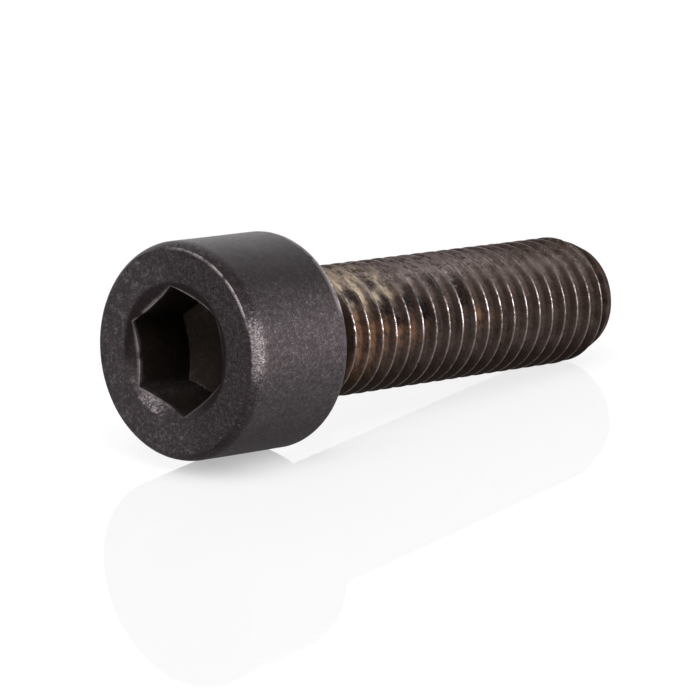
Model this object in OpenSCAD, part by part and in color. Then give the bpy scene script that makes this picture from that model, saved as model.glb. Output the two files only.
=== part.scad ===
// Cylinder-head screw with a hexagon socket, size 10 mm, thread up to the head.
// It lies on its side: the rim under the head and the end of the thread touch z = 0.
// The row of the screw runs along +X, the head face looks to -X, +Z is up.
// The origin is the middle of the bounding box on the ground.
// All lengths are in millimetres and all angles in degrees.

/* [Head] */
// Diameter of the head
head_dia = 15.85; // [14.5:0.05:18]
// Height of the head from its face to the bearing face
head_height = 9.8; // [8.5:0.1:12]
// Diameter of the flat face, out to its crisp edge
face_dia = 14.94; // [13.6:0.02:15.2]
// Length along the side that the rounding from the face's edge takes
edge_reach = 1; // [0.5:0.05:1.8]
// Radius of the rounding between the side and the bearing face
rim_round = 0.35; // [0.15:0.05:0.7]

/* [Socket] */
// Width of the hexagon across its flats
socket_flats = 8.17; // [7:0.01:8.4]
// Depth of the hexagon's corners below the head face
socket_depth = 5.4; // [4.8:0.1:6.5]
// Full angle of the drilled cone at the bottom
drill_angle = 120; // [110:2:140]
// Diameter of the round mouth at the head face
mouth_dia = 10.1; // [9.8:0.05:12]
// Full angle of the mouth's cone
mouth_angle = 116; // [90:2:130]
// Turn of the hexagon about the axis, from one corner straight down
socket_turn = -12; // [-30:0.5:30]

/* [Neck] */
// Diameter of the neck between the bearing face and the thread
neck_dia = 8.95; // [8.6:0.05:9.3]
// Length of the neck before the thread begins to rise out of it
neck_length = 0.9; // [0.8:0.1:1.8]
// Length over which the groove then reaches its depth
groove_run = 1.2; // [0.8:0.1:2]
// Radius of the hollow rounding between the bearing face and the neck
neck_round = 0.5; // [0.3:0.05:0.65]

/* [Thread] */
// Diameter over the crests
thread_dia = 9.82; // [9.7:0.02:9.98]
// Diameter at the root of the groove
root_dia = 8.16; // [8:0.02:8.3]
// Pitch, the rise of the thread in one turn
pitch = 1.5; // [1.45:0.01:1.55]
// Width of the flat on the crest
crest_width = 0.2; // [0.1:0.02:0.24]
// Angle between the two flanks
flank_angle = 60; // [56:1:61]
// Length from the bearing face to the end
thread_length = 34.8; // [24:0.1:45]
// Turn of the thread about the axis
thread_turn = 340; // [0:5:355]

/* [Thread end] */
// Length of the taper at the end
end_taper = 2.15; // [0.8:0.05:3]
// Diameter of the flat end
end_dia = 8.2; // [6.5:0.1:8.6]

/* [Hidden] */
// Steps round a circle and round one turn of the thread
$fn = 96;
turn_steps = 48;
// Share of a step by which the thread's corners stay off the seams of the turned forms
seam_clear = 0.25;
// Overlap of solids that are joined, and reach of a cut past a face
lap = 0.6;
beyond = 1;
// How far the thread's start lies sunk in the neck, and the bevel that the neck ends with
sunk_r = 0.05;
neck_bevel = 0.3;

head_r = head_dia / 2;
face_r = face_dia / 2;
corner_r = socket_flats / 2 / cos(30);
neck_r = neck_dia / 2;
crest_r = thread_dia / 2;
root_r = root_dia / 2;
end_r = end_dia / 2;
mouth_r = mouth_dia / 2;
end_z = head_height + thread_length;

// Radius of the arc that leaves the face's edge at an angle and meets the side smoothly
edge_step = head_r - face_r;
edge_r = (edge_step * edge_step + edge_reach * edge_reach) / (2 * edge_step);

// Radius of the thread's solid inside the neck, and where it starts to rise and to be grooved
start_r = neck_r - sunk_r;
rise_from = head_height + neck_length + neck_bevel;

// Corners of the groove and the crest along one pitch, as distance and radius
flank_run = (crest_r - root_r) * tan(flank_angle / 2);
profile = [
    [0, root_r],
    [flank_run, crest_r],
    [flank_run + crest_width, crest_r],
    [2 * flank_run + crest_width, root_r]
];
corners = len(profile);
thread_from = head_height - lap - pitch;
turns = ceil((end_z + beyond - thread_from) / pitch) + 1;
low_middle = thread_from - sunk_r;
high_middle = thread_from + pitch * (turns + 1) + sunk_r;
rows = turns * corners + 1;

// Far edge of the last full crest on the side of the ground
first_crest = thread_from + flank_run + crest_width / 2 - pitch * thread_turn / 360;
full_crests = floor((end_z - end_taper - crest_width / 2 - first_crest) / pitch);
foot_z = first_crest + pitch * full_crests + crest_width / 2;

// Tilt at which the rim under the head and that crest touch the ground
rise = head_r - rim_round - crest_r;
span = foot_z - head_height + rim_round;
tilt = atan2(rise, span) + asin(rim_round / norm([rise, span]));
drop = (head_r - rim_round) * cos(tilt) + (head_height - rim_round) * sin(tilt) + rim_round;

// Ends of the tilted screw along the row
row_min = -face_r * sin(tilt);
row_max = end_z * cos(tilt) + end_r * sin(tilt);

// Radius that a crest has at a height: it rises out of the neck at 45 degrees
function high_r(z) = min(crest_r, max(start_r, start_r + z - rise_from));

// Radius that a root has at a height: the groove runs in over groove_run
function low_r(z) = max(root_r, min(start_r, start_r - (z - rise_from) * (start_r - root_r) / groove_run));

// Radius of the taper at a height
function taper_r(z) = end_r + (end_z - z) * (crest_r - end_r) / end_taper;

// Point of one corner of the thread, at a step round the axis and a row along it
function thread_point(step, row) =
    let (
        corner = profile[row % corners],
        part_turn = (step + seam_clear) / turn_steps,
        a = 360 * part_turn,
        z = thread_from + pitch * (part_turn + floor(row / corners)) + corner[0],
        r = min(taper_r(z), corner[1] > root_r ? high_r(z) : low_r(z))
    )
    [r * cos(a), r * sin(a), z];

function at(step, row) = step * rows + row;

// Solid rod with a right-hand thread, longer at both ends than the thread that is kept
module thread_rod() {
    last = turn_steps - 1;
    low = turn_steps * rows;
    points = concat(
        [for (step = [0 : last]) for (row = [0 : rows - 1]) thread_point(step, row)],
        [[0, 0, low_middle], [0, 0, high_middle]]
    );
    wall = [
        for (step = [0 : last - 1]) for (row = [0 : rows - 2])
            for (half = [0, 1])
                half == 0
                    ? [at(step, row), at(step, row + 1), at(step + 1, row + 1)]
                    : [at(step, row), at(step + 1, row + 1), at(step + 1, row)]
    ];
    seam = [
        for (row = [0 : rows - corners - 2])
            for (half = [0, 1])
                half == 0
                    ? [at(last, row), at(last, row + 1), at(0, row + 1 + corners)]
                    : [at(last, row), at(0, row + 1 + corners), at(0, row + corners)]
    ];
    low_loop = concat([for (step = [0 : last]) at(step, 0)], [for (row = [corners : -1 : 1]) at(0, row)]);
    high_loop = concat(
        [for (step = [0 : last]) at(step, rows - 1)],
        [for (row = [rows - 2 : -1 : rows - 1 - corners]) at(last, row)]
    );
    low_cap = [for (i = [0 : len(low_loop) - 1]) [low, low_loop[i], low_loop[(i + 1) % len(low_loop)]]];
    high_cap = [for (i = [0 : len(high_loop) - 1]) [low + 1, high_loop[(i + 1) % len(high_loop)], high_loop[i]]];
    polyhedron(points = points, faces = concat(wall, seam, low_cap, high_cap), convexity = 10);
}

// The rod cut flat at the screw's end
module thread() {
    difference() {
        rotate([0, 0, thread_turn])
            thread_rod();
        translate([0, 0, end_z])
            cylinder(r = crest_r + beyond, h = pitch * corners);
    }
}

// Head with the arc behind its face and the rounded rim, without the socket
module head() {
    rotate_extrude()
        union() {
            square([face_r, head_height]);
            intersection() {
                translate([head_r - edge_r, edge_reach])
                    circle(r = edge_r);
                square([head_r, head_height]);
            }
            translate([0, edge_reach])
                square([head_r, head_height - edge_reach - rim_round]);
            translate([0, edge_reach])
                square([head_r - rim_round, head_height - edge_reach]);
            translate([head_r - rim_round, head_height - rim_round])
                circle(r = rim_round);
        }
}

// Neck with the hollow rounding under the head, bevelled where the thread comes out of it
module neck() {
    rotate_extrude()
        difference() {
            translate([0, head_height - lap])
                square([neck_r + neck_round, lap + neck_round]);
            translate([neck_r + neck_round, head_height + neck_round])
                circle(r = neck_round);
        }
    translate([0, 0, head_height - lap])
        cylinder(r = neck_r, h = lap + neck_length);
    translate([0, 0, head_height + neck_length])
        cylinder(r1 = neck_r, r2 = neck_r - neck_bevel, h = neck_bevel);
}

// Hexagon socket with its round mouth and the drilled cone at its bottom
module socket() {
    drill_slope = tan(90 - drill_angle / 2);
    drill_r = corner_r + beyond;
    intersection() {
        rotate([0, 0, socket_turn])
            translate([0, 0, -beyond])
                cylinder(r = corner_r, h = beyond + socket_depth + drill_r * drill_slope, $fn = 6);
        rotate_extrude()
            polygon([
                [0, -2 * beyond],
                [drill_r, -2 * beyond],
                [drill_r, socket_depth - beyond * drill_slope],
                [0, socket_depth + corner_r * drill_slope]
            ]);
    }
    half_angle = mouth_angle / 2;
    translate([0, 0, -beyond])
        cylinder(r1 = mouth_r + beyond * tan(half_angle), r2 = 0, h = beyond + mouth_r / tan(half_angle));
}

module cap_screw() {
    color([0.13, 0.12, 0.12])
        translate([-(row_min + row_max) / 2, 0, drop])
            rotate([0, 90 + tilt, 0])
                difference() {
                    union() {
                        head();
                        neck();
                        thread();
                    }
                    socket();
                }
}

cap_screw();
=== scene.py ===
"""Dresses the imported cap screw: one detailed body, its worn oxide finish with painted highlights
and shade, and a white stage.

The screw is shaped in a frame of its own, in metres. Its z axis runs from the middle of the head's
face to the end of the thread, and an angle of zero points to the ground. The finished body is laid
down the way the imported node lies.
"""

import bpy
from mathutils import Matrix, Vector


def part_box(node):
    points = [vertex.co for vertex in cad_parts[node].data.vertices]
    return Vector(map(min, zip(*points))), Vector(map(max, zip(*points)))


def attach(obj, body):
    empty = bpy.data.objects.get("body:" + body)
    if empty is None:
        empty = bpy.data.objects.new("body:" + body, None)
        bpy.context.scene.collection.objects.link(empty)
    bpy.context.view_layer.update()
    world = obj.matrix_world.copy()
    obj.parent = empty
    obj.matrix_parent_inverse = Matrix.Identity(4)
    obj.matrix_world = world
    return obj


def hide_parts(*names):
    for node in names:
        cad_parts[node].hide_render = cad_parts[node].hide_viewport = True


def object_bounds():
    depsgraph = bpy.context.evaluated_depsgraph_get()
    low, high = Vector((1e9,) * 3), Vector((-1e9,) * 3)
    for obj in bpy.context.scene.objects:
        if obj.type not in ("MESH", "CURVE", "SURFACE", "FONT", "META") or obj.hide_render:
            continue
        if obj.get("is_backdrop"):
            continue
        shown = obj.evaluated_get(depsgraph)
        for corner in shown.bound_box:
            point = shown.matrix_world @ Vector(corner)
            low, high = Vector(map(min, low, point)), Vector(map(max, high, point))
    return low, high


bl_info = {
    "name": "Hex socket cap screw",
    "version": (1, 0, 0),
    "blender": (4, 5, 0),
    "location": "View3D > Sidebar > Cap Screw",
    "description": "Shapes, finishes and stages a socket cap screw that lies on its side",
    "category": "Object",
}

from math import asin, atan2, ceil, cos, floor, hypot, pi, radians, sin, tan

import bpy
from mathutils import Matrix, Vector

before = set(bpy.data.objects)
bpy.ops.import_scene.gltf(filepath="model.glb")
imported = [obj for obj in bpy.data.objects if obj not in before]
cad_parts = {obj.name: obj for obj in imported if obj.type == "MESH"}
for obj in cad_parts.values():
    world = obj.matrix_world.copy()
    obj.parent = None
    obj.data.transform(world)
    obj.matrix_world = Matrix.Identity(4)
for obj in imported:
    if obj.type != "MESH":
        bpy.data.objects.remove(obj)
cad_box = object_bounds()

MM = 0.001
NODE = "cap_screw"
BODY = "root"

# Turns that the thread's sheet has beyond the thread's length
SPARE_TURNS = 4
# Depths under the crest at which its wear starts and is full
WORN_FROM, WORN_TO = 0.14 * MM, 0.01 * MM
# Values of the noise between which a nick comes
NICK_NOISE = (0.60, 0.74)
# Points closer than this are joined
WELD = 0.001 * MM
# Angle between faces above which their edge is sharp
SHARP_ANGLE = radians(50)


# Properties

def length(name, description, value_mm):
    """A length that is shown with its unit and given in millimetres."""
    return bpy.props.FloatProperty(
        name=name,
        description=description,
        default=value_mm * MM,
        min=0.0,
        precision=5,
        subtype="DISTANCE",
        unit="LENGTH",
    )


def angle(name, description, value_degrees):
    """An angle that is given in degrees."""
    return bpy.props.FloatProperty(
        name=name,
        description=description,
        default=radians(value_degrees),
        subtype="ANGLE",
        unit="ROTATION",
    )


def share(name, description, value, most=1.0):
    """A number without a unit."""
    return bpy.props.FloatProperty(
        name=name, description=description, default=value, min=0.0, max=most, precision=3
    )


def count(name, description, value, least):
    """A whole number."""
    return bpy.props.IntProperty(name=name, description=description, default=value, min=least)


def colour(name, description, value):
    """A linear colour."""
    return bpy.props.FloatVectorProperty(
        name=name,
        description=description,
        default=value,
        size=3,
        min=0.0,
        max=1.0,
        subtype="COLOR",
    )


class ScrewSizes(bpy.types.PropertyGroup):
    """Sizes of the screw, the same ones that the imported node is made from."""

    head_dia: length("Head diameter", "Diameter of the head", 15.85)
    head_height: length("Head height", "Height of the head along the axis", 9.8)
    face_dia: length("Face diameter", "Diameter of the flat face, out to its crisp edge", 14.94)
    edge_reach: length("Edge reach", "Length along the side of the rounding behind the face", 1.0)
    rim_round: length("Rim edge", "Rounding of the rim under the head", 0.35)
    socket_flats: length("Socket", "Distance between opposite flats of the hexagon", 8.17)
    socket_depth: length("Socket depth", "Depth of the hexagon's corners", 5.4)
    drill_angle: angle("Drill angle", "Full angle of the drilled cone at the bottom", 120)
    mouth_dia: length("Socket mouth", "Diameter of the socket's conical mouth", 10.1)
    mouth_angle: angle("Mouth angle", "Full angle of the conical mouth", 116)
    socket_turn: angle("Socket turn", "Angle of one corner of the hexagon", -12)
    crisp_round: length("Crisp edges", "Rounding of the lips and of the face's edge", 0.05)
    neck_dia: length("Neck diameter", "Diameter of the neck under the head", 8.95)
    neck_length: length("Neck length", "Length of the plain neck", 0.9)
    neck_bevel: length("Neck bevel", "Where the thread starts to rise past the neck", 0.3)
    groove_run: length("Groove run", "Length over which the groove reaches its depth", 1.2)
    neck_round: length("Neck hollow", "Hollow rounding under the head", 0.5)
    thread_dia: length("Thread diameter", "Diameter over the crests", 9.82)
    root_dia: length("Root diameter", "Diameter at the roots", 8.16)
    pitch: length("Pitch", "Distance from crest to crest", 1.5)
    crest_width: length("Crest width", "Width of the flat crest", 0.2)
    crest_soft: length("Crest softness", "Reach of the rounding at the crest's corners", 0.12)
    root_soft: length("Root softness", "Reach of the rounding at the root's corners", 0.3)
    flank_angle: angle("Flank angle", "Angle between the flanks", 60)
    thread_length: length("Length", "Length from under the head to the end", 34.8)
    thread_turn: angle("Thread turn", "Angle at which the thread starts", 340)
    thread_lead: length("Thread start", "Start of the helix before the bearing face", 2.1)
    end_taper: length("End taper", "Length of the taper at the end", 2.15)
    end_dia: length("End diameter", "Diameter of the flat end", 8.2)


class ScrewMesh(bpy.types.PropertyGroup):
    """How finely the body is divided, and how uneven it is."""

    turn_steps: count("Steps per turn", "A multiple of six, so that the corners are met", 144, 24)
    pitch_rows: count("Rows per pitch", "Rows of faces along one pitch", 20, 8)
    dent_depth: length("Dents", "Depth of the shallow unevenness all over", 0.03)
    dent_size: length("Dent size", "Size of the shallow unevenness", 2.6)
    nick_depth: length("Nicks", "Depth of the nicks in the crests", 0.09)
    nick_size: length("Nick size", "Size of a nick", 0.55)
    seed: count("Seed", "Seed of the unevenness", 7, 0)


class ScrewFinish(bpy.types.PropertyGroup):
    """Colours and wear of the screw, with the colours that paint its highlights and shade."""

    oxide: colour("Oxide", "Colour of the oxide on the head", (0.043, 0.0345, 0.0395))
    oxide_warm: colour("Warm oxide", "Second colour of the oxide", (0.048, 0.0365, 0.0390))
    # The steel colour also paints highlights beside the face's edge, on the face's upper edge and
    # on the crests that face the camera, and paints light low in the mouth
    steel: colour("Steel", "Bare steel where the oxide is worn off", (0.56, 0.49, 0.50))
    thread_oxide: colour("Thread oxide", "Colour of the thread", (0.080, 0.0540, 0.0445))
    khaki: colour("Khaki stain", "Dried oil under the head", (0.50, 0.40, 0.295))
    rust: colour("Rust stain", "Brown stain on the flanks", (0.34, 0.185, 0.105))
    # Dull patch: a dull rubbed patch on top of the thread, painted lighter as a sheen from above
    dull: colour("Dull patch", "Greyish rubbed patch on top", (0.29, 0.226, 0.220))
    tar: colour("Black streaks", "Thick dark oil", (0.0115, 0.0088, 0.0086))
    # Shade: painted shade, laid on the mouth's upper side, low and high on the head's side and low
    # on the face's edge
    shade: colour("Shade", "Darkened oxide on the lower side", (0.0125, 0.0070, 0.0080))
    # Film: also painted shade under the thread, on the crests on top and behind the head, and the
    # colour of the darker flanks
    film: colour("Film", "Brown oil film low on the thread", (0.018, 0.0100, 0.0070))
    # A darker brown laid inside the socket
    socket_darkening: colour("Grime", "Brown dirt in the socket", (0.028, 0.0195, 0.0135))
    oxide_metal: share("Metal share", "How metallic the oxide is", 0.75)
    oxide_roughness: share("Oxide roughness", "Roughness of the oxide", 0.35)
    thread_roughness: share("Thread roughness", "Roughness of the thread", 0.40)
    gloss: share("Gloss", "Specular level of the oxide", 0.07)
    head_bump: length("Head bump", "Depth of the grain on the head", 0.08)
    thread_bump: length("Thread bump", "Depth of the grain on the thread", 0.06)
    oil: share("Oil", "Weight of the thin oil film on the thread", 0.5)


class StageSettings(bpy.types.PropertyGroup):
    """Camera, lights and floor."""

    azimuth: angle("Azimuth", "Angle of the camera round the screw", -47.991)
    elevation: angle("Elevation", "Angle of the camera above the horizon", 14.479)
    roll: angle("Roll", "Turn of the camera about its own line of sight", -0.138)
    camera_place: bpy.props.FloatVectorProperty(
        name="Camera place",
        description="Where the camera stands",
        default=(-262.505 * MM, -233.406 * MM, 95.387 * MM),
        size=3,
        precision=5,
        subtype="TRANSLATION",
        unit="LENGTH",
    )
    lens: share("Lens", "Focal length in millimetres on a 36 mm sensor", 249.78, 400.0)
    top_power: share("Top light", "Watts of the big soft box above, on the left", 13.5, 50.0)
    back_power: share("Back light", "Watts of the soft box behind", 1.6, 50.0)
    side_power: share("Side light", "Watts of the strip on the right", 10.0, 50.0)
    front_power: share("Front light", "Watts of the small box by the camera", 0.9, 50.0)
    room_level: share("Room", "Strength of the even light of the room", 0.15, 5.0)
    floor_lift: share("Floor lift", "Share of plain white in the floor as it is seen", 0.80)
    floor_white: share("Floor white", "Strength of that white", 1.07, 2.0)
    floor_gloss: share("Floor gloss", "Share of clear reflection in the floor", 0.09)
    near_gloss: share("Near gloss", "Further share of it along the head's foot", 0.42)
    near_reach: length("Near reach", "Distance from the foot at which that share has gone", 9.0)


# Sizes worked out from the ones that are set

class Shape:
    """The screw's outline in its own frame, and how it lies on the ground."""

    def __init__(self, sizes):
        self.sizes = sizes
        self.head_r = sizes.head_dia / 2
        self.face_r = sizes.face_dia / 2
        edge_step = self.head_r - self.face_r
        self.edge_r = (edge_step**2 + sizes.edge_reach**2) / (2 * edge_step)
        self.corner_r = sizes.socket_flats / 2 / cos(pi / 6)
        self.drill_slope = 1 / tan(sizes.drill_angle / 2)
        self.neck_r = sizes.neck_dia / 2
        self.crest_r = sizes.thread_dia / 2
        self.root_r = sizes.root_dia / 2
        self.end_r = sizes.end_dia / 2
        self.mouth_r = sizes.mouth_dia / 2
        self.mouth_slope = tan(sizes.mouth_angle / 2)
        self.flank_slope = tan(sizes.flank_angle / 2)
        self.thread_z = sizes.head_height + sizes.neck_length
        self.rise_z = self.thread_z + sizes.neck_bevel
        self.end_z = sizes.head_height + sizes.thread_length
        flank_run = (self.crest_r - self.root_r) * self.flank_slope
        self.crest_z = sizes.head_height - sizes.thread_lead + flank_run + sizes.crest_width / 2
        self.tilt = self._tilt()

    def _tilt(self):
        """Angle at which the rim under the head and the last full crest touch the ground."""
        sizes = self.sizes
        first_crest = self.crest_z - sizes.pitch * sizes.thread_turn / (2 * pi)
        whole_length = self.end_z - sizes.end_taper - sizes.crest_width / 2 - first_crest
        full_crests = floor(whole_length / sizes.pitch)
        foot_z = first_crest + sizes.pitch * full_crests + sizes.crest_width / 2
        rise = self.head_r - sizes.rim_round - self.crest_r
        span = foot_z - sizes.head_height + sizes.rim_round
        return atan2(rise, span) + asin(sizes.rim_round / hypot(rise, span))

    def laid_down(self):
        """The move from the screw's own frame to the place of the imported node."""
        sizes = self.sizes
        c, s = cos(self.tilt), sin(self.tilt)
        drop = (self.head_r - sizes.rim_round) * c
        drop += (sizes.head_height - sizes.rim_round) * s + sizes.rim_round
        row_min = -self.face_r * s
        row_max = self.end_z * c + self.end_r * s
        place = Matrix.Translation((-(row_min + row_max) / 2, 0, drop))
        return place @ Matrix.Rotation(pi / 2 + self.tilt, 4, "Y")

    def socket_r(self, theta):
        """Radius of the hexagon at an angle."""
        sixth = pi / 3
        off_middle = (theta - self.sizes.socket_turn) % sixth - sixth / 2
        return self.sizes.socket_flats / 2 / cos(off_middle)


# Nodes

class Value:
    """A node's output. Arithmetic on it adds Math nodes to its tree."""

    def __init__(self, nodes, socket):
        self.nodes = nodes
        self.socket = socket

    def _math(self, operation, *entries):
        return self.nodes.add("ShaderNodeMath", {"operation": operation}, dict(enumerate(entries)))

    def __add__(self, other):
        return self._math("ADD", self, other)

    def __radd__(self, other):
        return self._math("ADD", other, self)

    def __sub__(self, other):
        return self._math("SUBTRACT", self, other)

    def __rsub__(self, other):
        return self._math("SUBTRACT", other, self)

    def __mul__(self, other):
        return self._math("MULTIPLY", self, other)

    def __rmul__(self, other):
        return self._math("MULTIPLY", other, self)

    def __truediv__(self, other):
        return self._math("DIVIDE", self, other)

    def __rtruediv__(self, other):
        return self._math("DIVIDE", other, self)

    def __mod__(self, other):
        return self._math("FLOORED_MODULO", self, other)

    def __abs__(self):
        return self._math("ABSOLUTE", self)

    def __round__(self):
        return self._math("ROUND", self)

    def least(self, other):
        return self._math("MINIMUM", self, other)

    def most(self, other):
        return self._math("MAXIMUM", self, other)

    def soft_least(self, other, reach):
        return self._math("SMOOTH_MIN", self, other, reach)

    def soft_most(self, other, reach):
        return self._math("SMOOTH_MAX", self, other, reach)

    def sine(self):
        return self._math("SINE", self)

    def cosine(self):
        return self._math("COSINE", self)

    def root(self):
        return self._math("SQRT", self)

    def turn_to(self, other):
        """The angle of the point (other, self)."""
        return self._math("ARCTAN2", self, other)

    def fade(self, low, high):
        """Zero below low, one above high and smooth between."""
        entries = {"Value": self, "From Min": low, "From Max": high}
        settings = {"interpolation_type": "SMOOTHSTEP"}
        return self.nodes.add("ShaderNodeMapRange", settings, entries)

    def fall(self, low, high):
        """One below low, zero above high and smooth between."""
        return 1.0 - self.fade(low, high)

    def spread(self, low, high):
        """From zero to one turned into from low to high."""
        return self * (high - low) + low


class Nodes:
    """Adds nodes to one tree."""

    COLUMN, ROW, PER_COLUMN = 190, 170, 7

    def __init__(self, tree):
        self.tree = tree
        tree.nodes.clear()

    def add(self, kind, settings=None, entries=None, output=0):
        """One node: its type, its settings, then the values or links of its sockets."""
        node = self.tree.nodes.new(kind)
        column, row = divmod(len(self.tree.nodes), self.PER_COLUMN)
        node.location = (self.COLUMN * column, -self.ROW * row)
        for name, setting in (settings or {}).items():
            setattr(node, name, setting)
        for key, entry in (entries or {}).items():
            for one in entry if isinstance(entry, list) else [entry]:
                if isinstance(one, Value):
                    self.tree.links.new(one.socket, node.inputs[key])
                else:
                    node.inputs[key].default_value = one
        return Value(self, node.outputs[output]) if node.outputs else None

    def split(self, vector):
        """The three parts of a vector."""
        first = self.add("ShaderNodeSeparateXYZ", {}, {"Vector": vector})
        node = first.socket.node
        return [Value(self, socket) for socket in node.outputs]

    def noise(self, place, scale, detail, roughness):
        """Smooth noise from zero to one."""
        return self.add("ShaderNodeTexNoise", {}, {
            "Vector": place, "Scale": scale, "Detail": detail, "Roughness": roughness,
        })

    def noises(self, place, table):
        """The noises of a table, which gives scale, detail and roughness by name."""
        return {name: self.noise(place, *settings) for name, settings in table.items()}

    def mix(self, factor, first, second):
        """A colour between two colours."""
        entries = {0: factor, 6: opaque(first), 7: opaque(second)}
        return self.add("ShaderNodeMix", {"data_type": "RGBA"}, entries, output=2)


def opaque(shade):
    """A colour of three parts with its alpha, or a link as it is."""
    return shade if isinstance(shade, Value) else (*shade, 1.0)


# Head, socket and neck

def rounded(before, corner, after, radius, steps):
    """Points of the arc that rounds a corner of an outline."""
    back = (before - corner).normalized()
    on = (after - corner).normalized()
    half = back.angle(on) / 2
    middle = corner + (back + on).normalized() * (radius / sin(half))
    first = corner + back * (radius / tan(half)) - middle
    last = corner + on * (radius / tan(half)) - middle
    sweep = first.angle(last)
    return [
        middle + (first * sin(sweep * (1 - t)) + last * sin(sweep * t)) / sin(sweep)
        for t in (step / steps for step in range(steps + 1))
    ]


def edge_arc(shape, steps):
    """Points of the arc from the face's crisp edge to the side, without its first."""
    middle = Vector((shape.head_r - shape.edge_r, shape.sizes.edge_reach))
    sweep = asin(shape.sizes.edge_reach / shape.edge_r)
    turns = [sweep * (1 - step / steps) for step in range(1, steps + 1)]
    return [middle + shape.edge_r * Vector((cos(turn), -sin(turn))) for turn in turns]


def head_rows(shape, theta):
    """The outline at one angle, from the bottom of the socket to the neck, as (point, wear)."""
    sizes = shape.sizes
    hexagon = shape.socket_r(theta)
    lip_z = (shape.mouth_r - hexagon) / shape.mouth_slope
    bottom_z = sizes.socket_depth + (shape.corner_r - hexagon) * shape.drill_slope
    tip_z = sizes.socket_depth + shape.corner_r * shape.drill_slope
    crisp = sizes.crisp_round
    # Corner, radius of its rounding, steps of the rounding, rows up to it, wear on it
    corners = [
        (Vector((0, tip_z)), 0, 0, 0, 0),
        (Vector((hexagon, bottom_z)), 2 * crisp, 3, 12, 0),
        (Vector((hexagon, lip_z)), crisp, 4, 16, 1),
        (Vector((shape.mouth_r, 0)), 2 * crisp, 3, 4, 0),
        (Vector((shape.face_r, 0)), crisp, 4, 12, 1),
        *((point, 0, 0, 1, 0) for point in edge_arc(shape, 12)),
        (Vector((shape.head_r, sizes.head_height)), sizes.rim_round, 6, 24, 0.8),
        (Vector((shape.neck_r, sizes.head_height)), sizes.neck_round, 5, 6, 0),
        (Vector((shape.neck_r, shape.thread_z)), 0, 0, 3, 0),
    ]
    rows = [(corners[0][0], 0)]
    for i, (corner, radius, steps, between, wear) in enumerate(corners[1:], start=1):
        if radius:
            arc = rounded(corners[i - 1][0], corner, corners[i + 1][0], radius, steps)
        else:
            arc = [corner]
        start = rows[-1][0]
        rows += [(start.lerp(arc[0], j / between), 0) for j in range(1, between)]
        rows += [(p, wear * sin(pi * (n + 1) / (len(arc) + 1))) for n, p in enumerate(arc)]
    return rows


def head_mesh(shape, steps):
    """Head, socket and neck as rings of points round the axis."""
    rings = []
    for step in range(steps):
        theta = shape.sizes.socket_turn + 2 * pi * step / steps
        rings.append([
            (Vector((p.x * cos(theta), p.x * sin(theta), p.y)), wear)
            for p, wear in head_rows(shape, theta)
        ])
    rows = len(rings[0]) - 1
    points = [rings[0][0]] + [point for ring in rings for point in ring[1:]]

    def at(step, row):
        return 1 + (step % steps) * rows + row

    faces = [(0, at(step + 1, 0), at(step, 0)) for step in range(steps)]
    faces += [
        (at(step, row), at(step + 1, row), at(step + 1, row + 1), at(step, row + 1))
        for step in range(steps)
        for row in range(rows - 1)
    ]
    mesh = bpy.data.meshes.new("head")
    mesh.from_pydata([point for point, _ in points], [], faces)
    worn = mesh.attributes.new("edge_wear", "FLOAT", "POINT")
    worn.data.foreach_set("value", [wear for _, wear in points])
    return mesh


# Thread

def body_inputs(shape, mesh):
    """Named inputs of the body's tree, with the type and value of each."""
    sizes = shape.sizes
    turns = ceil((shape.end_z - shape.thread_z) / sizes.pitch) + SPARE_TURNS
    laid = shape.laid_down()
    return {
        "Steps per turn": ("Int", mesh.turn_steps),
        "Rows per pitch": ("Int", mesh.pitch_rows),
        "Rows": ("Int", turns * mesh.pitch_rows),
        "First angle": ("Float", sizes.socket_turn),
        "Pitch": ("Float", sizes.pitch),
        "Crest radius": ("Float", shape.crest_r),
        "Root radius": ("Float", shape.root_r),
        "Crest width": ("Float", sizes.crest_width),
        "Crest softness": ("Float", sizes.crest_soft),
        "Root softness": ("Float", sizes.root_soft),
        "Flank slope": ("Float", shape.flank_slope),
        "Crest start": ("Float", shape.crest_z),
        "Crest turn": ("Float", sizes.thread_turn),
        "Neck radius": ("Float", shape.neck_r),
        "Thread start": ("Float", shape.thread_z),
        "Rise start": ("Float", shape.rise_z),
        "Groove run": ("Float", sizes.groove_run),
        "End": ("Float", shape.end_z),
        "End radius": ("Float", shape.end_r),
        "End taper": ("Float", sizes.end_taper),
        "Dent depth": ("Float", mesh.dent_depth),
        "Dent size": ("Float", mesh.dent_size),
        "Nick depth": ("Float", mesh.nick_depth),
        "Nick size": ("Float", mesh.nick_size),
        "Seed": ("Int", mesh.seed),
        "Place": ("Vector", laid.to_translation()),
        "Turn": ("Vector", Vector(laid.to_euler())),
    }


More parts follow.
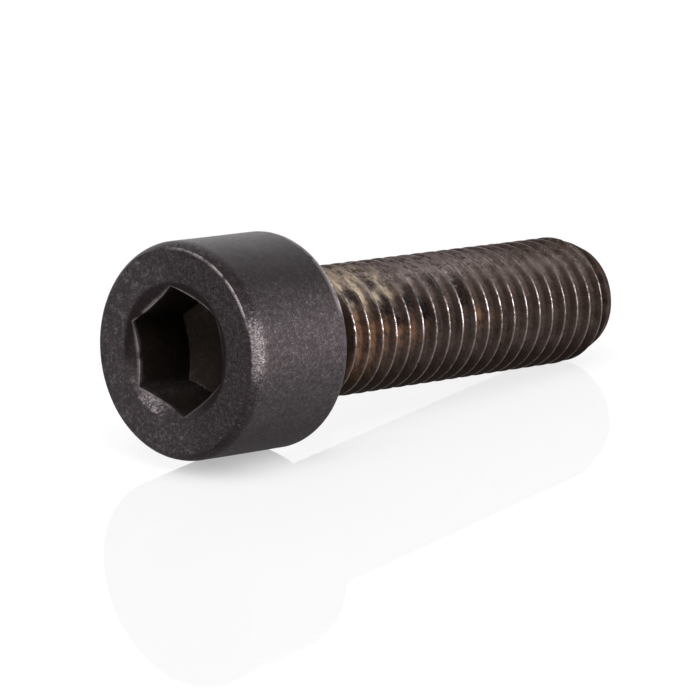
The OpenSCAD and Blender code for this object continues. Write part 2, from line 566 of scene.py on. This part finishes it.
def body_tree(inputs, head_finish, thread_finish):
    """The tree that adds the thread to the head, makes the whole uneven and lays it down."""
    tree = bpy.data.node_groups.new("Screw body", "GeometryNodeTree")
    tree.interface.new_socket("Geometry", in_out="OUTPUT", socket_type="NodeSocketGeometry")
    tree.interface.new_socket("Head", in_out="INPUT", socket_type="NodeSocketGeometry")
    for name, (kind, _) in inputs.items():
        tree.interface.new_socket(name, in_out="INPUT", socket_type=f"NodeSocket{kind}")
    nodes = Nodes(tree)
    entry = nodes.add("NodeGroupInput").socket.node
    given = {socket.name: Value(nodes, socket) for socket in entry.outputs if socket.name}

    steps, rows, pitch = given["Steps per turn"], given["Rows"], given["Pitch"]
    sheet = nodes.add("GeometryNodeMeshGrid", {}, {
        "Size X": steps,
        "Size Y": rows,
        "Vertices X": steps + 1,
        "Vertices Y": rows + 1,
    })
    across, along, _ = nodes.split(nodes.add("GeometryNodeInputPosition"))
    turned = round(across + steps / 2) / steps
    theta = given["First angle"] + turned * (2 * pi)
    row_height = pitch / given["Rows per pitch"]
    raw = given["Thread start"] - pitch + pitch * turned + row_height * round(along + rows / 2)
    z = raw.most(given["Thread start"]).least(given["End"])

    crest_r, neck_r = given["Crest radius"], given["Neck radius"]
    crest_at = given["Crest start"] + pitch * (theta - given["Crest turn"]) / (2 * pi)
    from_crest = abs(((z - crest_at) / pitch + 0.5) % 1.0 - 0.5) * pitch
    flank = crest_r - (from_crest - given["Crest width"] / 2) / given["Flank slope"]
    rounded_crest = flank.soft_least(crest_r, given["Crest softness"])
    wave = rounded_crest.soft_most(given["Root radius"], given["Root softness"])
    risen = (z - given["Rise start"]).most(0.0)
    high = (neck_r + risen).least(crest_r)
    sunk = (neck_r - given["Root radius"]) / given["Groove run"]
    low = (neck_r - risen * sunk).most(given["Root radius"])
    taper_slope = (crest_r - given["End radius"]) / given["End taper"]
    taper = given["End radius"] + (given["End"] - z) * taper_slope
    threaded = wave.least(high).most(low).soft_least(taper, given["Crest softness"])

    worn = threaded.fade(crest_r - WORN_FROM, crest_r - WORN_TO)
    even = nodes.add("ShaderNodeCombineXYZ", {}, {
        0: crest_r * theta.cosine(),
        1: crest_r * theta.sine(),
        2: z,
    })
    nick_noise = nodes.noise(even, 1.0 / given["Nick size"], detail=3.0, roughness=0.6)
    nick = nick_noise.fade(*NICK_NOISE) * worn * given["Nick depth"]
    past = (raw - given["End"] - row_height).most(0.0) / pitch
    radius = (threaded - nick) * (1.0 - past).most(0.0)
    point = nodes.add("ShaderNodeCombineXYZ", {}, {
        0: radius * theta.cosine(),
        1: radius * theta.sine(),
        2: z,
    })
    settings = {"data_type": "FLOAT", "domain": "POINT"}
    marked = nodes.add("GeometryNodeStoreNamedAttribute", settings, {
        "Geometry": sheet, "Name": "edge_wear", "Value": worn,
    })
    marked = nodes.add("GeometryNodeStoreNamedAttribute", settings, {
        "Geometry": marked, "Name": "threaded", "Value": 1.0,
    })
    thread = nodes.add("GeometryNodeSetPosition", {}, {"Geometry": marked, "Position": point})

    whole = nodes.add("GeometryNodeJoinGeometry", {}, {"Geometry": [thread, given["Head"]]})
    whole = nodes.add("GeometryNodeMergeByDistance", {}, {"Geometry": whole, "Distance": WELD})
    place = nodes.add("GeometryNodeInputPosition")
    shifted = nodes.add("ShaderNodeVectorMath", {"operation": "ADD"}, {0: place, 1: given["Seed"]})
    dent = nodes.noise(shifted, 1.0 / given["Dent size"], detail=3.0, roughness=0.55)
    pushed = nodes.add("ShaderNodeVectorMath", {"operation": "SCALE"}, {
        "Vector": nodes.add("GeometryNodeInputNormal"),
        "Scale": (dent - 1.0).least(0.0) * given["Dent depth"],
    })
    whole = nodes.add("GeometryNodeSetPosition", {}, {"Geometry": whole, "Offset": pushed})
    whole = nodes.add("GeometryNodeTransform", {}, {
        "Geometry": whole, "Translation": given["Place"], "Rotation": given["Turn"],
    })
    whole = nodes.add("GeometryNodeSetShadeSmooth", {}, {"Geometry": whole})
    whole = nodes.add("GeometryNodeRealizeInstances", {}, {"Geometry": whole})
    whole = nodes.add("GeometryNodeSetMaterial", {}, {"Geometry": whole, "Material": head_finish})
    on_thread = nodes.add("GeometryNodeInputNamedAttribute", {"data_type": "FLOAT"}, {
        "Name": "threaded",
    })
    whole = nodes.add("GeometryNodeSetMaterial", {}, {
        "Geometry": whole, "Selection": on_thread.fade(0.4, 0.6), "Material": thread_finish,
    })
    nodes.add("NodeGroupOutput", {}, {"Geometry": whole})
    return tree


def plain_result(base, tree, inputs, name):
    """The mesh that a tree makes of an object, as a new object without the modifier."""
    modifier = base.modifiers.new("Screw body", "NODES")
    modifier.node_group = tree
    for item in tree.interface.items_tree:
        if item.in_out == "INPUT" and item.name in inputs:
            value = inputs[item.name][1]
            modifier[item.identifier] = tuple(value) if isinstance(value, Vector) else value
    evaluated = base.evaluated_get(bpy.context.evaluated_depsgraph_get())
    mesh = bpy.data.meshes.new_from_object(evaluated)
    bpy.data.objects.remove(base)
    mesh.name = name
    body = bpy.data.objects.new(name, mesh)
    bpy.context.scene.collection.objects.link(body)
    return body


# Finishes

CAMERA_SIDE = radians(-105)
WHITE = (1.0, 1.0, 1.0, 1.0)

# Noises by name: waves per millimetre, detail and roughness
HEAD_NOISES = {
    "cloud": (0.45, 4.0, 0.6),
    "patch": (1.1, 4.0, 0.65),
    "mottle": (3.0, 6.0, 0.9),
    "coarse": (3.5, 5.0, 0.85),
    "fleck": (7.0, 3.0, 0.75),
    "fine": (9.0, 2.0, 0.8),
}
THREAD_NOISES = {
    "cloud": (0.8, 4.0, 0.65),
    "blot": (0.8, 5.0, 0.7),
    "bead": (2.6, 3.0, 0.6),
    "grain": (4.0, 5.0, 0.8),
}
DRAWN_NOISES = {
    "streak": (3.0, 5.0, 0.75),
    "scratch": (6.0, 4.0, 0.7),
}
# Share of the way round the screw that the drawn-out noises see, and their slant along it
DRAWN_ROUND, DRAWN_SLANT = 0.3, 0.25

# Bands round the screw by name, in degrees downwards from the camera's side: the middle, how far
# from it the band is whole and how far from it the band ends
# Painted light and shade by band: a highlight beside the face's edge and on the face's upper edge,
# light low in the mouth, and shade on the mouth's upper side, low and high on the side and low on
# the face's edge
HEAD_BANDS = {
    "painted_highlight": (4, 8, 26),
    "rubbed and highlit edge": (-46, 26, 44),
    "bright mouth": (131, 4, 20),
    "lit mouth": (120, 50, 90),
    "dark mouth": (-60, 110, 150),
    "far face": (180, 70, 120),
    "low side": (110, 40, 94),
    "high side": (-42, 6, 26),
    "low edge": (90, 60, 80),
    "matt side": (110, 50, 84),
}
# Painted shade under the thread and on the crests on top, and painted highlights on the crests in
# the band that faces the camera
THREAD_BANDS = {
    "under": (110, 50, 90),
    "upper": (-100, 40, 80),
    "crest highlight": (-3, 4, 26),
}

# Values of a noise between which an effect comes or goes, and those of the wear for the crest's top
CLOUDS = (0.35, 0.65)
DARK_SPOTS = (0.62, 0.38)
SPARKLE = (0.58, 0.84)
RUBBED = (0.3, 0.55)
MOUTH_SPARKLE = (0.46, 0.62)
SCUFFS = (0.5, 0.66)
THREAD_CLOUDS = (0.3, 0.7)
UNEVEN_STAIN = (0.40, 0.56)
SCRATCHES_GO = (0.38, 0.5)
BEADS = (0.38, 0.6)
CREST_TOP = (0.93, 1.0)

# Millimetres between which something comes or goes, from the radius of the face and of the mouth
FACE_GOES = (-0.05, 0.05)
WALLS_GO = (-0.6, -0.2)
# The same from the axis
LIPS_GO = (5.5, 6.0)
MOUTH_COMES, MOUTH_GOES = (4.0, 4.5), (4.9, 5.2)
# The same below the crests
FLANK_COMES, FLANK_GOES = (0.005, 0.08), (0.36, 0.60)
# The same along the screw from its face, and from its end for the taper
# Where the painted highlight beside the face's edge goes
HIGHLIGHT_GOES = (0.3, 1.6)
SOCKET_COMES = (0.1, 1.2)
# Where the painted shadow of the head on the thread goes
HEAD_SHADOW_GOES = (13.7, 14.5)
BEADS_GO = (30.0, 40.0)
TAPER_COMES = (-2.4, -1.2)

# Where the stains lie on the thread: millimetres from the face and degrees from the camera's side,
# half widths of both, and slant in millimetres per degree
KHAKI_STAINS = [
    (14.6, -54, 4.2, 36, 0),
    (17.6, -28, 1.5, 13, 0),
]
RUST_STAINS = [
    (15.5, 4, 3.2, 18, 0),
    (14.8, 32, 3.0, 34, 0),
    (20.0, 10, 1.8, 16, 0),
    (28.8, 6, 1.0, 10, 0),
]
TAR_STREAKS = [
    (15.3, -24, 0.30, 16, 0.03),
    (17.4, -32, 0.50, 22, -0.017),
    (18.7, -10, 0.70, 16, 0.048),
    (20.6, -24, 0.40, 14, 0.03),
    (21.9, -14, 0.80, 18, 0.04),
    (24.4, -28, 0.50, 16, 0.03),
    (26.7, -24, 0.60, 18, 0.01),
]
# Painted sheen on top of the thread, over a dull patch
TOP_SHEEN_PATCHES = [
    (24.0, -66, 9.0, 26, 0),
]


def blank_material(name):
    """A material without nodes, and the maker of its nodes."""
    material = bpy.data.materials.new(name)
    material.use_nodes = True
    return material, Nodes(material.node_tree)


class Spot:
    """Where a shaded point lies, in millimetres and degrees of the screw's own frame."""

    def __init__(self, nodes, shape):
        laid = shape.laid_down() @ Matrix.Rotation(CAMERA_SIDE, 4, "Z")
        self.place = nodes.add("ShaderNodeMapping", {"vector_type": "TEXTURE"}, {
            "Vector": nodes.add("ShaderNodeTexCoord", output="Object"),
            "Location": laid.to_translation(),
            "Rotation": laid.to_euler(),
            "Scale": (MM, MM, MM),
        })
        self.x, self.y, self.z = nodes.split(self.place)
        self.phi = self.y.turn_to(self.x) * (180 / pi)
        self.radius = (self.x * self.x + self.y * self.y).root()

    def bands(self, table):
        """The bands of a table as values that are one inside, closed all the way round."""
        found = {}
        for name, (middle, near, far) in table.items():
            off = abs((self.phi - middle + 180.0) % 360.0 - 180.0)
            found[name] = off.fall(near, far)
        return found


def summed(*parts):
    """The sum of several values, each given with its share."""
    first, *others = [value * amount for value, amount in parts]
    for other in others:
        first = first + other
    return first


def strongest(*parts):
    """The largest of several values, each given with its share."""
    first, *others = [value * amount for value, amount in parts]
    for other in others:
        first = first.most(other)
    return first


def coated(nodes, base, *coats):
    """A colour with coats over it in turn, each given as its amount and its colour."""
    for amount, coat in coats:
        base = nodes.mix(amount, base, coat)
    return base


def stain(spot, patches, edge, ragged):
    """One where any of the patches lies, with an edge that a noise makes ragged."""
    covered = []
    for at_z, at_phi, half_z, half_phi, slant in patches:
        round_axis = (spot.phi - at_phi) / half_phi
        along = (spot.z - at_z - (spot.phi - at_phi) * slant) / half_z
        far = (along * along + round_axis * round_axis).root() + ragged
        covered.append((far.fall(1 - edge, 1 + edge), 1.0))
    return strongest(*covered)


def finished(material, nodes, bump_depth, height, entries):
    """Ends a material's tree with a bump and the shader that takes these entries."""
    bump = nodes.add("ShaderNodeBump", {}, {
        "Strength": 1.0, "Distance": bump_depth, "Height": height,
    })
    shader = nodes.add("ShaderNodeBsdfPrincipled", {}, {**entries, "Normal": bump})
    nodes.add("ShaderNodeOutputMaterial", {}, {"Surface": shader})
    return material


def head_finish(shape, finish):
    """Matt black oxide with a fine grain, rubbed bare on the edges, with painted highlights and
    painted shade.
    """
    material, nodes = blank_material("Worn black oxide")
    spot = Spot(nodes, shape)
    noise = nodes.noises(spot.place, HEAD_NOISES)
    side = spot.bands(HEAD_BANDS)
    edge = nodes.add("ShaderNodeAttribute", {"attribute_name": "edge_wear"}, output="Fac")
    outside = (spot.radius - shape.face_r / MM).fade(*FACE_GOES)
    on_lips = spot.radius.fall(*LIPS_GO)
    on_mouth = spot.radius.fade(*MOUTH_COMES) * spot.radius.fall(*MOUTH_GOES)
    inside = (spot.radius - shape.mouth_r / MM).fall(*WALLS_GO) * spot.z.fade(*SOCKET_COMES)
    far_face = (1.0 - outside) * side["far face"]

    # Bare steel beside the face's edge, along the edges and low in the mouth: worn specks, denser
    # in a painted highlight beside the face's edge, and a worn line on the edges, painted as a
    # highlight on the face's upper edge
    painted_highlight = side["painted_highlight"] * spot.z.fall(*HIGHLIGHT_GOES) * outside
    specks = summed((noise["fleck"], 0.6), (noise["coarse"], 0.4), (painted_highlight, 0.2))
    rubbed = strongest((on_lips, 0.35), (side["rubbed and highlit edge"], 0.95))
    line = (edge * 1.7).least(1.0) * noise["patch"].fade(*RUBBED) * rubbed
    mouth_specks = summed((noise["fleck"], 0.5), (noise["coarse"], 0.5))
    in_mouth = on_mouth * side["bright mouth"] * mouth_specks.fade(*MOUTH_SPARKLE)
    bare = (outside * specks.fade(*SPARKLE)).most(line).most(in_mouth)

    # Steel that shows through as a grain and as scuffs, lifted by the painted highlight and by
    # painted light low in the mouth; and painted shade on the mouth's upper side, low and high on
    # the side and low on the face's edge
    scuffs = summed((noise["coarse"], 0.6), (noise["patch"], 0.4)).fade(*SCUFFS)
    grain = summed((noise["fine"], 0.5), (noise["mottle"], 0.5))
    grainy = summed(
        ((grain - 0.52).most(0.0), noise["patch"].spread(0.6, 3.0)),
        (far_face * scuffs, 0.26),
        (far_face, 0.020),
        (on_mouth * side["lit mouth"], 0.03),
        (painted_highlight, 0.05),
    )
    shaded = strongest(
        (on_mouth * side["dark mouth"], 0.85),
        (outside * side["low side"], 0.85),
        (outside * side["high side"], 0.55),
        (edge * side["low edge"], 0.7),
    )
    base = coated(
        nodes,
        finish.oxide,
        (noise["cloud"].fade(*CLOUDS), finish.oxide_warm),
        (noise["mottle"].fade(*DARK_SPOTS) * 0.6, finish.tar),
        (grainy, finish.steel),
        (shaded, finish.shade),
        # A darker brown inside the socket
        (inside * 0.8, finish.socket_darkening),
        ((bare * 0.75).most(line), finish.steel),
    )
    matt = outside * side["matt side"]
    rough = summed((noise["fine"] - 0.5, 0.3), (bare, -0.06), (line, -0.06), (matt, 0.2))
    height = summed((noise["fine"], 0.4), (noise["mottle"], 0.6), (noise["patch"], 0.4))
    return finished(material, nodes, finish.head_bump, height, {
        "Base Color": base,
        "Metallic": bare * (1.0 - finish.oxide_metal) + finish.oxide_metal - matt * 0.6,
        "Roughness": rough + finish.oxide_roughness,
        "Specular IOR Level": finish.gloss,
    })


def thread_finish(shape, finish):
    """Dark oily thread with dried stains and bright rubbed crests, with painted highlights on the
    crests, painted shade underneath and a painted sheen on top.
    """
    material, nodes = blank_material("Oiled thread")
    spot = Spot(nodes, shape)
    noise = nodes.noises(spot.place, THREAD_NOISES)
    drawn_place = nodes.add("ShaderNodeCombineXYZ", {}, {
        0: spot.x * DRAWN_ROUND,
        1: spot.y * DRAWN_ROUND,
        2: spot.z - spot.y * DRAWN_SLANT,
    })
    drawn = nodes.noises(drawn_place, DRAWN_NOISES)
    side = spot.bands(THREAD_BANDS)
    under, upper = side["under"], side["upper"]
    worn = nodes.add("ShaderNodeAttribute", {"attribute_name": "edge_wear"}, output="Fac")

    # Stains, uneven along drawn-out streaks, and a painted sheen on top over a dull patch
    uneven = drawn["streak"].fade(*UNEVEN_STAIN)
    blots = (noise["blot"] - 0.5) * 2.4
    smears = summed((drawn["streak"] - 0.5, 2.2), (blots, 0.2))
    dull = stain(spot, TOP_SHEEN_PATCHES, 0.35, blots) * uneven.spread(0.35, 1.0)
    khaki = stain(spot, KHAKI_STAINS, 0.4, blots) * uneven.spread(0.6, 1.0)
    rust = stain(spot, RUST_STAINS, 0.7, blots) * uneven.spread(0.15, 0.95)
    tar = stain(spot, TAR_STREAKS, 0.4, smears)
    scratched = drawn["scratch"].fall(*SCRATCHES_GO)

    # Dark film and painted shade: painted shade underneath, on the crests on top and as the head's
    # shadow behind it, darker flanks that are less dark on top, and a dark film on the taper
    depth = shape.crest_r / MM - spot.radius
    flank = depth.fade(*FLANK_COMES) * depth.fall(*FLANK_GOES)
    past_taper = (spot.z - shape.end_z / MM).fade(*TAPER_COMES)
    dark = strongest(
        (under, 0.92),
        (flank * (1.0 - upper * 0.5), 0.74),
        (worn * upper, 0.82),
        (past_taper, uneven.spread(0.55, 0.9)),
        (spot.z.fall(*HEAD_SHADOW_GOES) * (1.0 - upper * 0.8), 0.9),
    )

    # Bright beads of worn steel on the crests, painted as highlights in the band that faces the
    # camera, none on top and fewer towards the end
    shine = side["crest highlight"] * (1.0 - spot.z.fade(*BEADS_GO) * 0.6)
    beads = worn.fade(*CREST_TOP) * noise["bead"].fade(*BEADS)
    bare = beads * (1.0 - tar * 0.6) * shine.spread(0.12, 1.0) * (1.0 - upper)
    clouds = noise["cloud"].fade(*THREAD_CLOUDS)
    base = coated(
        nodes,
        finish.thread_oxide,
        (clouds, [part * 1.5 for part in finish.thread_oxide]),
        (dull * 0.9, finish.dull),
        (khaki, finish.khaki),
        (rust * (1.0 - worn * 0.8), finish.rust),
        (tar * 0.95, finish.tar),
        ((noise["grain"] - 0.5).most(0.0) * upper.spread(0.8, 1.8), finish.steel),
        (scratched * upper.spread(0.25, 0.62), finish.film),
        (dark, finish.film),
        (bare * 0.95, finish.steel),
    )
    rough = summed((noise["grain"] - 0.5, 0.25), (tar, -0.12), (bare, -0.1))
    rough = rough + strongest((past_taper, 0.5), (under, 0.15))
    height = summed((noise["grain"], 0.5), (noise["cloud"], 0.9))
    return finished(material, nodes, finish.thread_bump, height, {
        "Base Color": base,
        "Metallic": bare * 0.4 + 0.5 - strongest((past_taper, 0.5), (under, 0.3)),
        "Roughness": rough + finish.thread_roughness,
        "Coat Weight": (1.0 - under.most(past_taper)) * clouds * finish.oil,
        "Coat Roughness": 0.22,
        "Specular IOR Level": finish.gloss,
    })


# Stage

# How far the floor reaches from the screw, how far off and how high the wall is, and how far off
# the lights are
FLOOR_REACH = 3.0
WALL_DISTANCE, WALL_HEIGHT = 1.2, 1.5
LIGHT_DISTANCE = 1.2
# Colours of the floor and the wall in the light, and roughness of the floor's reflection
FLOOR_COLOUR = (0.9, 0.9, 0.9, 1.0)
WALL_COLOUR = (0.86, 0.86, 0.86, 1.0)
FLOOR_POLISH = 0.03
# Distances past the face's foot and past the rim's foot between which the floor starts and stops
# to mirror more
FOOT_COMES, FOOT_GOES = (-2.7 * MM, 4.3 * MM), (0.0, 4.0 * MM)
# Soft boxes: name, azimuth and elevation in degrees, width and height in metres, and the setting
# that holds the power
SOFT_BOXES = (
    ("top box", -62, 58, 1.0, 1.0, "top_power"),
    ("back box", 136, 42, 0.8, 0.4, "back_power"),
    ("side strip", 49, 8, 0.2, 0.25, "side_power"),
    ("front box", -12, 16, 0.3, 0.3, "front_power"),
)
# Width of the camera's sensor in millimetres, and the distances between which it sees
SENSOR_WIDTH = 36.0
CLIP_START, CLIP_END = 0.01, 20.0


def seen_directly(nodes):
    """One for the camera, for mirror images and for what shows through clear things."""
    path = nodes.add("ShaderNodeLightPath").socket.node
    rays = [Value(nodes, path.outputs[name]) for name in
            ("Is Camera Ray", "Is Glossy Ray", "Is Transmission Ray")]
    return rays[0].most(rays[1]).most(rays[2])


def floor_material(stage, face_x, rim_x):
    """White floor with a faint clear reflection that is stronger along the head's foot."""
    material, nodes = blank_material("White floor")
    x, y, _ = nodes.split(nodes.add("ShaderNodeTexCoord", output="Object"))
    beside = abs(y).fall(0.0, stage.near_reach)
    below = (x - face_x).fade(*FOOT_COMES) * (x - rim_x).fall(*FOOT_GOES)
    matt = nodes.add("ShaderNodeBsdfDiffuse", {}, {"Color": FLOOR_COLOUR})
    white = nodes.add("ShaderNodeEmission", {}, {"Color": WHITE, "Strength": stage.floor_white})
    lift = seen_directly(nodes) * stage.floor_lift
    lit = nodes.add("ShaderNodeMixShader", {}, {0: lift, 1: matt, 2: white})
    clear = nodes.add("ShaderNodeBsdfGlossy", {}, {"Color": WHITE, "Roughness": FLOOR_POLISH})
    gloss = beside * beside * below * stage.near_gloss + stage.floor_gloss
    surface = nodes.add("ShaderNodeMixShader", {}, {0: gloss, 1: lit, 2: clear})
    nodes.add("ShaderNodeOutputMaterial", {}, {"Surface": surface})
    return material


def backdrop_material():
    """White wall that is seen in the floor and in the metal, and gives no light."""
    material, nodes = blank_material("White backdrop")
    matt = nodes.add("ShaderNodeBsdfDiffuse", {}, {"Color": WALL_COLOUR})
    white = nodes.add("ShaderNodeEmission", {}, {"Color": WHITE, "Strength": 1.0})
    surface = nodes.add("ShaderNodeMixShader", {}, {0: seen_directly(nodes), 1: matt, 2: white})
    nodes.add("ShaderNodeOutputMaterial", {}, {"Surface": surface})
    return material


def add_sheet(name, corners, material):
    """A flat stage piece."""
    mesh = bpy.data.meshes.new(name)
    mesh.from_pydata(corners, [], [(0, 1, 2, 3)])
    mesh.materials.append(material)
    sheet = bpy.data.objects.new(name, mesh)
    bpy.context.scene.collection.objects.link(sheet)
    sheet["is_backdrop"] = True


def direction(azimuth, elevation):
    """Unit vector towards a place round the screw, by the camera's own two angles."""
    flat = cos(elevation)
    return Vector((sin(azimuth) * flat, -cos(azimuth) * flat, sin(elevation)))


def add_soft_box(name, towards, width, height, power, aim):
    """An area light in one direction from the point that it is aimed at."""
    data = bpy.data.lights.new(name, "AREA")
    data.shape = "RECTANGLE"
    data.size, data.size_y = width, height
    data.energy = power
    light = bpy.data.objects.new(name, data)
    light.location = aim + towards * LIGHT_DISTANCE
    light.rotation_euler = towards.to_track_quat("Z", "Y").to_euler()
    bpy.context.scene.collection.objects.link(light)


# Operators

class SCREW_OT_body(bpy.types.Operator):
    """Shapes and finishes the screw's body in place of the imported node"""

    bl_idname = "screw.body"
    bl_label = "Make the body"

    def execute(self, context):
        scene = context.scene
        shape = Shape(scene.screw_sizes)
        base = bpy.data.objects.new("head", head_mesh(shape, scene.screw_mesh.turn_steps))
        scene.collection.objects.link(base)
        inputs = body_inputs(shape, scene.screw_mesh)
        finish = scene.screw_finish
        tree = body_tree(inputs, head_finish(shape, finish), thread_finish(shape, finish))
        body = plain_result(base, tree, inputs, "cap_screw_body")
        body.data.set_sharp_from_angle(angle=SHARP_ANGLE)
        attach(body, BODY)
        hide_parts(NODE)
        return {"FINISHED"}


class SCREW_OT_stage(bpy.types.Operator):
    """Adds the floor, the backdrop, the lights and the camera"""

    bl_idname = "screw.stage"
    bl_label = "Make the stage"

    def execute(self, context):
        scene = context.scene
        stage = scene.screw_stage
        reach = FLOOR_REACH
        corners = [(-reach, -reach, 0), (reach, -reach, 0), (reach, reach, 0), (-reach, reach, 0)]
        shape = Shape(scene.screw_sizes)
        face = shape.laid_down() @ Vector((shape.head_r, 0.0, 0.0))
        rim = shape.laid_down() @ Vector((shape.head_r, 0.0, shape.sizes.head_height))
        add_sheet("floor", corners, floor_material(stage, face.x, rim.x))
        away = -direction(stage.azimuth, 0.0)
        across = Vector((-away.y, away.x, 0.0)) * reach
        foot = away * WALL_DISTANCE
        up = Vector((0.0, 0.0, WALL_HEIGHT))
        wall = [foot - across, foot + across, foot + across + up, foot - across + up]
        add_sheet("backdrop", wall, backdrop_material())

        low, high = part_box(NODE)
        aim = (low + high) / 2
        for name, azimuth, elevation, width, height, power in SOFT_BOXES:
            towards = direction(radians(azimuth), radians(elevation))
            add_soft_box(name, towards, width, height, getattr(stage, power), aim)
        world = bpy.data.worlds.new("Room")
        world.use_nodes = True
        nodes = Nodes(world.node_tree)
        room = nodes.add("ShaderNodeBackground", {}, {
            "Color": WHITE, "Strength": stage.room_level,
        })
        nodes.add("ShaderNodeOutputWorld", {}, {"Surface": room})
        scene.world = world
        scene.view_settings.view_transform = "Standard"

        data = bpy.data.cameras.new("camera")
        data.lens = stage.lens
        data.sensor_width = SENSOR_WIDTH
        data.clip_start, data.clip_end = CLIP_START, CLIP_END
        camera = bpy.data.objects.new("camera", data)
        camera.location = stage.camera_place
        back = direction(stage.azimuth, stage.elevation)
        level = back.to_track_quat("Z", "Y").to_matrix()
        camera.rotation_euler = (level @ Matrix.Rotation(stage.roll, 3, "Z")).to_euler()
        scene.collection.objects.link(camera)
        scene.camera = camera
        return {"FINISHED"}


class SCREW_PT_panel(bpy.types.Panel):
    """Sizes, finish and stage of the cap screw"""

    bl_label = "Cap Screw"
    bl_idname = "SCREW_PT_panel"
    bl_space_type = "VIEW_3D"
    bl_region_type = "UI"
    bl_category = "Cap Screw"

    def draw(self, context):
        scene = context.scene
        for title, group, operator in (
            ("Sizes", scene.screw_sizes, None),
            ("Mesh", scene.screw_mesh, None),
            ("Finish", scene.screw_finish, SCREW_OT_body),
            ("Stage", scene.screw_stage, SCREW_OT_stage),
        ):
            box = self.layout.box()
            box.label(text=title)
            for name in group.__annotations__:
                box.prop(group, name)
            if operator:
                box.operator(operator.bl_idname)


CLASSES = (
    ScrewSizes,
    ScrewMesh,
    ScrewFinish,
    StageSettings,
    SCREW_OT_body,
    SCREW_OT_stage,
    SCREW_PT_panel,
)
GROUPS = {
    "screw_sizes": ScrewSizes,
    "screw_mesh": ScrewMesh,
    "screw_finish": ScrewFinish,
    "screw_stage": StageSettings,
}


def register():
    for each in CLASSES:
        bpy.utils.register_class(each)
    for name, group in GROUPS.items():
        setattr(bpy.types.Scene, name, bpy.props.PointerProperty(type=group))


def unregister():
    for name in GROUPS:
        delattr(bpy.types.Scene, name)
    for each in reversed(CLASSES):
        bpy.utils.unregister_class(each)


def main():
    """Makes every piece and the stage."""
    register()
    bpy.ops.screw.body()
    bpy.ops.screw.stage()
    sizes = {
        "cad": [list(corner) for corner in cad_box],
        "visual": [list(corner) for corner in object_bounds()],
    }


if __name__ == "__main__":
    main()
